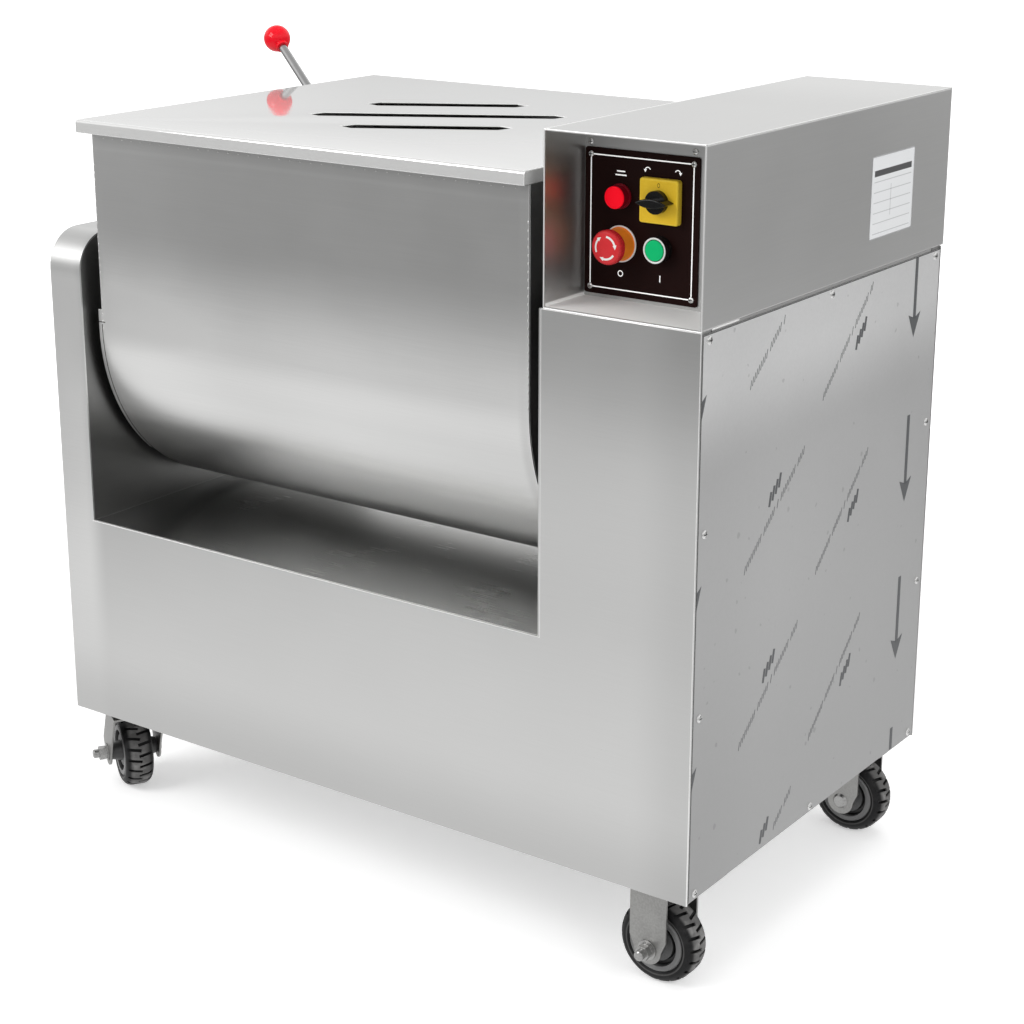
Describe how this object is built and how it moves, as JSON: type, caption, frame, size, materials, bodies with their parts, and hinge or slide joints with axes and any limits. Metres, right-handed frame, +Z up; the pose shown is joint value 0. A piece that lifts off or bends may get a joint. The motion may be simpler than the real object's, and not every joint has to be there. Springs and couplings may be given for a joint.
{
  "type": "meat mixer",
  "caption": "Tilting meat mixer on castors: hinged-lid tank with a paddle shaft, hung between a slim arm and a drive column with a control box.",
  "frame": {"origin": "on the floor, under the middle of the bounding box", "axes": "+X to the right as seen from the front, where the controls are, +Y to the back, +Z up"},
  "size_m": [1.0486, 0.599, 0.993],
  "materials": {
    "stainless_sheet": "brushed",
    "tank_steel": "brushed",
    "lid_steel": "brushed",
    "filmed_sheet": "satin",
    "frame_steel": "satin",
    "machined_steel": "satin",
    "zinc_steel": "satin",
    "bright_fastener": "polished",
    "cast_housing": "satin",
    "gearbox_casting": "satin",
    "motor_paint": "satin",
    "dark_panel": "matte",
    "red_lens": "gloss",
    "red_cap": "gloss",
    "red_ball": "gloss",
    "green_cap": "gloss",
    "stop_collar": "gloss",
    "white_bezel": "gloss",
    "yellow_plate": "satin",
    "black_plastic": "satin",
    "grey_device": "matte",
    "seal_rubber": "matte",
    "wheel_centre": "matte",
    "wheel_tyre": "matte"
  },
  "bodies": {
    "cabinet": {"front_sheet": "stainless_sheet", "rear_sheet": "stainless_sheet", "left_side_plate": "stainless_sheet", "arm_inner_plate": "stainless_sheet", "deck_sheet": "stainless_sheet", "column_inner_plate": "stainless_sheet", "frame_tubes": "frame_steel", "corner_gussets": "frame_steel", "side_panel": "filmed_sheet", "side_panel_screws": "bright_fastener", "control_box": "stainless_sheet", "backing_plate": "stainless_sheet", "control_plate": "dark_panel", "panel_screws": "bright_fastener", "power_lamp": "red_lens", "estop_collar": "stop_collar", "start_bezel": "white_bezel", "switch_plate": "yellow_plate", "contact_blocks": "grey_device", "switchgear": "grey_device", "cable_gland": "black_plastic", "bearing_housings": "cast_housing", "bearing_bolts": "bright_fastener", "gearbox": "gearbox_casting", "gearbox_standoffs": "bright_fastener", "motor_case": "motor_paint", "fan_cowl": "motor_paint", "swivel_plates": "zinc_steel", "fixed_forks": "zinc_steel", "fixed_axles": "bright_fastener", "castor_bolts": "bright_fastener"},
    "tank": {"tank_shell": "tank_steel", "tank_end_walls": "tank_steel", "tank_hubs": "machined_steel", "shaft_seals": "seal_rubber", "tilt_handle": "machined_steel", "ball_knob": "red_ball", "hinge_brackets": "tank_steel"},
    "lid": {"lid": "lid_steel", "lid_hinge_leaves": "lid_steel"},
    "mixer_shaft": {"mixing_shaft": "machined_steel", "mixing_paddles": "tank_steel"},
    "rotor": {"motor_rotor": "machined_steel"},
    "start_cap": {"start_button": "green_cap"},
    "stop_stem": {"estop_stem": "black_plastic"},
    "stop_head": {"estop_head": "red_cap"},
    "switch_grip": {"switch_knob": "black_plastic"},
    "front_left_swivel": {"front_left_fork": "zinc_steel", "front_left_axle": "bright_fastener"},
    "rear_left_swivel": {"rear_left_fork": "zinc_steel", "rear_left_axle": "bright_fastener"},
    "front_left_wheel": {"front_left_hub": "wheel_centre", "front_left_tyre": "wheel_tyre"},
    "rear_left_wheel": {"rear_left_hub": "wheel_centre", "rear_left_tyre": "wheel_tyre"},
    "front_right_wheel": {"front_right_hub": "wheel_centre", "front_right_tyre": "wheel_tyre"},
    "rear_right_wheel": {"rear_right_hub": "wheel_centre", "rear_right_tyre": "wheel_tyre"}
  },
  "joints": [
    {"name": "tank_tilt", "type": "hinge", "parent": "cabinet", "child": "tank", "pos_m": [-0.0363, -0.0395, 0.66], "axis": [1, 0, 0], "range_deg": [0, 85]},
    {"name": "lid_hinge", "type": "hinge", "parent": "tank", "child": "lid", "pos_m": [-0.0363, 0.2585, 0.904], "axis": [-1, 0, 0], "range_deg": [0, 105]},
    {"name": "shaft_spin", "type": "hinge", "parent": "cabinet", "child": "mixer_shaft", "pos_m": [-0.0363, -0.0395, 0.66], "axis": [1, 0, 0], "continuous": true},
    {"name": "rotor_spin", "type": "hinge", "parent": "cabinet", "child": "rotor", "pos_m": [0.4077, 0.0405, 0.47], "axis": [0, 0, 1], "continuous": true},
    {"name": "switch_turn", "type": "hinge", "parent": "cabinet", "child": "switch_grip", "pos_m": [0.4252, -0.2345, 0.8955], "axis": [0, 1, 0], "range_deg": [0, 180]},
    {"name": "start_press", "type": "slide", "parent": "cabinet", "child": "start_cap", "axis": [0, 1, 0], "range_m": [0, 0.004], "stiffness_N_per_m": 400},
    {"name": "stop_press", "type": "slide", "parent": "cabinet", "child": "stop_stem", "axis": [0, 1, 0], "range_m": [0, 0.0045], "stiffness_N_per_m": 600},
    {"name": "stop_twist", "type": "hinge", "parent": "stop_stem", "child": "stop_head", "pos_m": [0.3742, -0.2395, 0.844], "axis": [0, 1, 0], "range_deg": [0, 35], "stiffness_Nm_per_rad": 0.1},
    {"name": "front_left_turn", "type": "hinge", "parent": "cabinet", "child": "front_left_swivel", "pos_m": [-0.3813, -0.2425, 0.115], "axis": [0, 0, 1], "continuous": true},
    {"name": "front_left_roll", "type": "hinge", "parent": "front_left_swivel", "child": "front_left_wheel", "pos_m": [-0.40844, -0.22554, 0.05], "axis": [0.5299, 0.848, 0], "continuous": true},
    {"name": "rear_left_turn", "type": "hinge", "parent": "cabinet", "child": "rear_left_swivel", "pos_m": [-0.3813, 0.2305, 0.115], "axis": [0, 0, 1], "continuous": true},
    {"name": "rear_left_roll", "type": "hinge", "parent": "rear_left_swivel", "child": "rear_left_wheel", "pos_m": [-0.41221, 0.23878, 0.05], "axis": [0.2588, 0.9659, 0], "continuous": true},
    {"name": "front_right_roll", "type": "hinge", "parent": "cabinet", "child": "front_right_wheel", "pos_m": [0.4617, -0.2425, 0.05], "axis": [0, 1, 0], "continuous": true},
    {"name": "rear_right_roll", "type": "hinge", "parent": "cabinet", "child": "rear_right_wheel", "pos_m": [0.4617, 0.2305, 0.05], "axis": [0, 1, 0], "continuous": true}
  ],
  "couplings": [
    {"joint": "rotor_spin", "follows": "shaft_spin", "ratio": 30}
  ]
}
